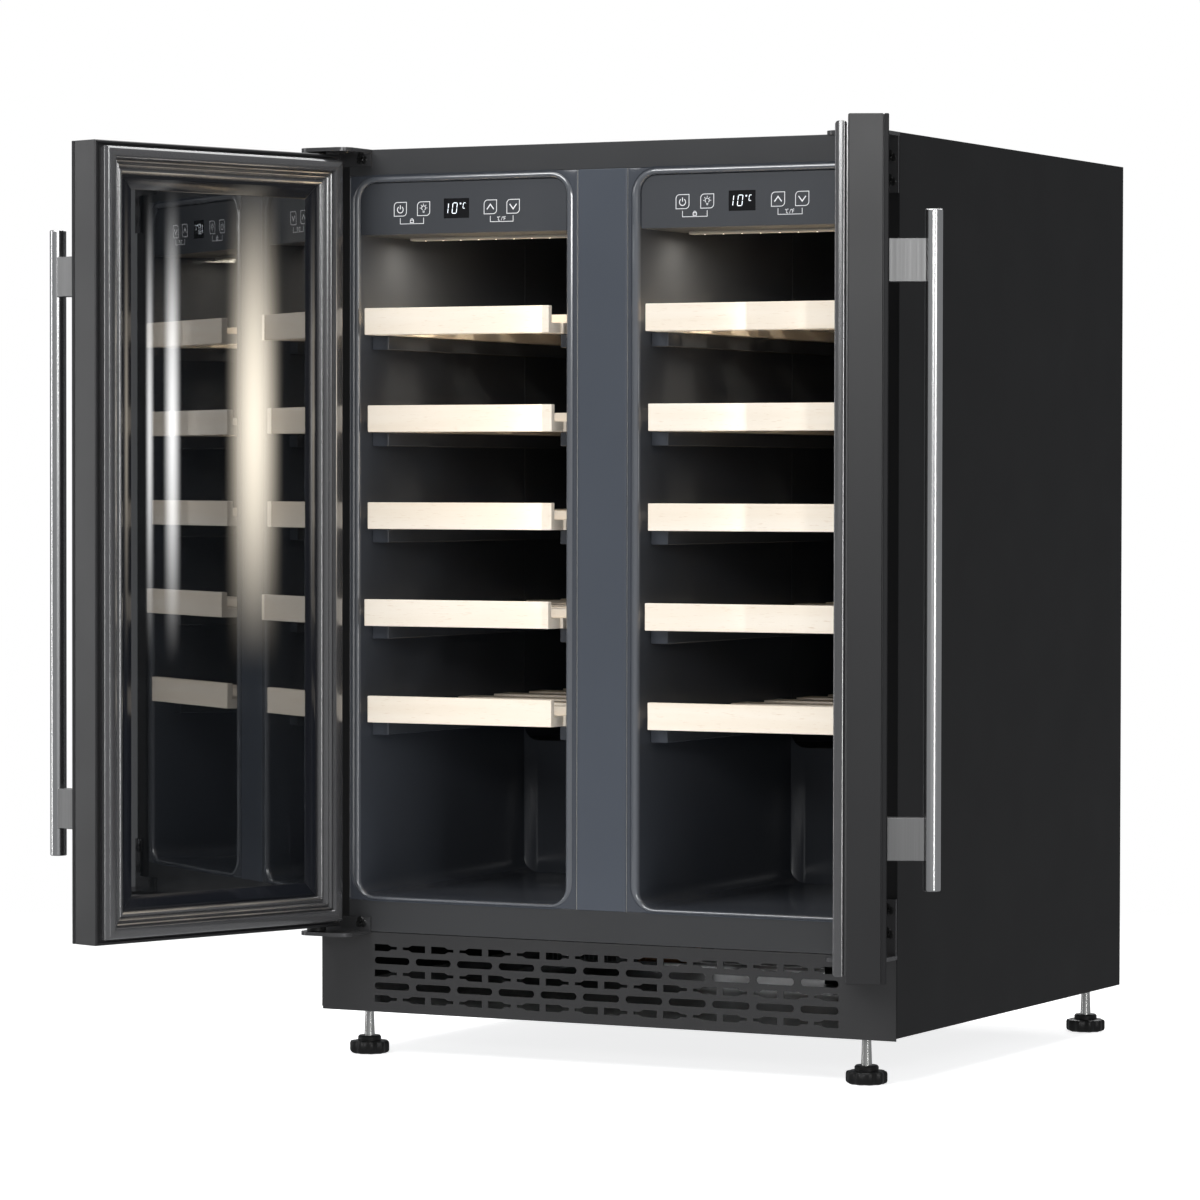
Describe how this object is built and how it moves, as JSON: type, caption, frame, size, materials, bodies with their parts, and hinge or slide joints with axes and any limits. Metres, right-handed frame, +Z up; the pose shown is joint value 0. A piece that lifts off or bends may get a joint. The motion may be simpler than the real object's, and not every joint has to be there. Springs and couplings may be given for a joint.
{
  "type": "wine cooler",
  "caption": "Dual-zone under-counter wine cooler with a charcoal cabinet, wooden shelves, lit compartments and two glass doors with bar handles, both standing open.",
  "frame": {"origin": "On the floor under the levelling feet, on the cabinet's centre line and in the plane of the cabinet's front flanges.", "axes": "+Z is up, -Y points out of the front of the cabinet and +X points to the right of someone who faces the doors."},
  "size_m": [0.8715, 0.8527, 0.853],
  "materials": {
    "charcoal_steel": "satin",
    "front_steel": "satin",
    "plinth_steel": "satin",
    "zinc_steel": "satin",
    "bracket_steel": "satin",
    "screw_steel": "satin",
    "liner_plastic": "satin",
    "foam": "matte",
    "beech": "satin",
    "door_profile": "satin",
    "door_glass": "gloss",
    "spacer_bar": "matte",
    "seal_rubber": "matte",
    "handle_steel": "satin",
    "bush_plastic": "satin",
    "panel_plastic": "satin",
    "display_lens": "gloss",
    "lamp_lens": "satin",
    "fan_plastic": "satin",
    "duct_plastic": "satin",
    "evaporator_aluminium": "satin",
    "sensor_plastic": "satin",
    "compressor_enamel": "gloss",
    "mount_rubber": "matte",
    "coil_aluminium": "satin",
    "tray_plastic": "matte",
    "copper": "satin",
    "inlet_plastic": "matte",
    "foot_plastic": "satin"
  },
  "bodies": {
    "cabinet": {"side_panel_left": "charcoal_steel", "side_panel_right": "charcoal_steel", "top_panel": "charcoal_steel", "back_panel": "zinc_steel", "base_tray": "zinc_steel", "rear_cover": "zinc_steel", "front_rail_top": "front_steel", "front_rail_bottom": "front_steel", "kick_plate": "plinth_steel", "mullion_cover": "panel_plastic", "control_panel_left": "panel_plastic", "control_panel_right": "panel_plastic", "liner_left": "liner_plastic", "liner_right": "liner_plastic", "shelf_runners": "liner_plastic", "insulation_foam": "foam", "hinge_brackets": "bracket_steel", "hinge_screws": "screw_steel", "display_modules": "display_lens", "lamp_strips": "lamp_lens", "fan_frames": "fan_plastic", "air_duct_covers": "duct_plastic", "evaporators": "evaporator_aluminium", "temperature_sensors": "sensor_plastic", "compressor": "compressor_enamel", "compressor_mounts": "mount_rubber", "condenser_coil": "coil_aluminium", "drip_tray": "tray_plastic", "refrigerant_pipes": "copper", "filter_drier": "copper", "power_inlet": "inlet_plastic"},
    "door_left": {"door_left_frame": "door_profile", "door_left_glass": "door_glass", "door_left_spacer": "spacer_bar", "door_left_seal": "seal_rubber", "door_left_handle": "handle_steel", "door_left_bushes": "bush_plastic"},
    "door_right": {"door_right_frame": "door_profile", "door_right_glass": "door_glass", "door_right_spacer": "spacer_bar", "door_right_seal": "seal_rubber", "door_right_handle": "handle_steel", "door_right_bushes": "bush_plastic"},
    "shelf_left_1": {"shelf_left_1": "beech"},
    "shelf_left_2": {"shelf_left_2": "beech"},
    "shelf_left_3": {"shelf_left_3": "beech"},
    "shelf_left_4": {"shelf_left_4": "beech"},
    "shelf_left_5": {"shelf_left_5": "beech"},
    "shelf_right_1": {"shelf_right_1": "beech"},
    "shelf_right_2": {"shelf_right_2": "beech"},
    "shelf_right_3": {"shelf_right_3": "beech"},
    "shelf_right_4": {"shelf_right_4": "beech"},
    "shelf_right_5": {"shelf_right_5": "beech"},
    "fan_rotor_left": {"fan_rotor_left": "fan_plastic"},
    "fan_rotor_right": {"fan_rotor_right": "fan_plastic"},
    "condenser_fan_rotor": {"condenser_fan_rotor": "fan_plastic"},
    "foot_front_left": {"foot_front_left": "foot_plastic"},
    "foot_front_right": {"foot_front_right": "foot_plastic"},
    "foot_rear_left": {"foot_rear_left": "foot_plastic"},
    "foot_rear_right": {"foot_rear_right": "foot_plastic"}
  },
  "joints": [
    {"name": "door_left_hinge", "type": "hinge", "parent": "cabinet", "child": "door_left", "pos_m": [-0.2847, -0.0318, 0.4], "axis": [0, 0, -1], "range_deg": [-107.6, 12.4]},
    {"name": "door_right_hinge", "type": "hinge", "parent": "cabinet", "child": "door_right", "pos_m": [0.2847, -0.0318, 0.4], "axis": [0, 0, 1], "range_deg": [-114.1, 5.9]},
    {"name": "shelf_left_1_slide", "type": "slide", "parent": "cabinet", "child": "shelf_left_1", "axis": [0, -1, 0], "range_m": [-0.006, 0.2]},
    {"name": "shelf_left_2_slide", "type": "slide", "parent": "cabinet", "child": "shelf_left_2", "axis": [0, -1, 0], "range_m": [0, 0.2]},
    {"name": "shelf_left_3_slide", "type": "slide", "parent": "cabinet", "child": "shelf_left_3", "axis": [0, -1, 0], "range_m": [0, 0.2]},
    {"name": "shelf_left_4_slide", "type": "slide", "parent": "cabinet", "child": "shelf_left_4", "axis": [0, -1, 0], "range_m": [-0.006, 0.2]},
    {"name": "shelf_left_5_slide", "type": "slide", "parent": "cabinet", "child": "shelf_left_5", "axis": [0, -1, 0], "range_m": [0, 0.2]},
    {"name": "shelf_right_1_slide", "type": "slide", "parent": "cabinet", "child": "shelf_right_1", "axis": [0, -1, 0], "range_m": [-0.006, 0.2]},
    {"name": "shelf_right_2_slide", "type": "slide", "parent": "cabinet", "child": "shelf_right_2", "axis": [0, -1, 0], "range_m": [0, 0.2]},
    {"name": "shelf_right_3_slide", "type": "slide", "parent": "cabinet", "child": "shelf_right_3", "axis": [0, -1, 0], "range_m": [0, 0.2]},
    {"name": "shelf_right_4_slide", "type": "slide", "parent": "cabinet", "child": "shelf_right_4", "axis": [0, -1, 0], "range_m": [-0.006, 0.2]},
    {"name": "shelf_right_5_slide", "type": "slide", "parent": "cabinet", "child": "shelf_right_5", "axis": [0, -1, 0], "range_m": [0, 0.2]},
    {"name": "fan_left_spin", "type": "hinge", "parent": "cabinet", "child": "fan_rotor_left", "pos_m": [-0.1475, 0.4485, 0.64], "axis": [0, 1, 0], "continuous": true},
    {"name": "fan_right_spin", "type": "hinge", "parent": "cabinet", "child": "fan_rotor_right", "pos_m": [0.1475, 0.4485, 0.64], "axis": [0, 1, 0], "continuous": true},
    {"name": "condenser_fan_spin", "type": "hinge", "parent": "cabinet", "child": "condenser_fan_rotor", "pos_m": [-0.1465, 0.451, 0.124], "axis": [1, 0, 0], "continuous": true},
    {"name": "foot_front_left_screw", "type": "slide", "parent": "cabinet", "child": "foot_front_left", "axis": [0, 0, 1], "range_m": [-0.01, 0.02]},
    {"name": "foot_front_right_screw", "type": "slide", "parent": "cabinet", "child": "foot_front_right", "axis": [0, 0, 1], "range_m": [-0.01, 0.02]},
    {"name": "foot_rear_left_screw", "type": "slide", "parent": "cabinet", "child": "foot_rear_left", "axis": [0, 0, 1], "range_m": [-0.01, 0.02]},
    {"name": "foot_rear_right_screw", "type": "slide", "parent": "cabinet", "child": "foot_rear_right", "axis": [0, 0, 1], "range_m": [-0.01, 0.02]}
  ]
}
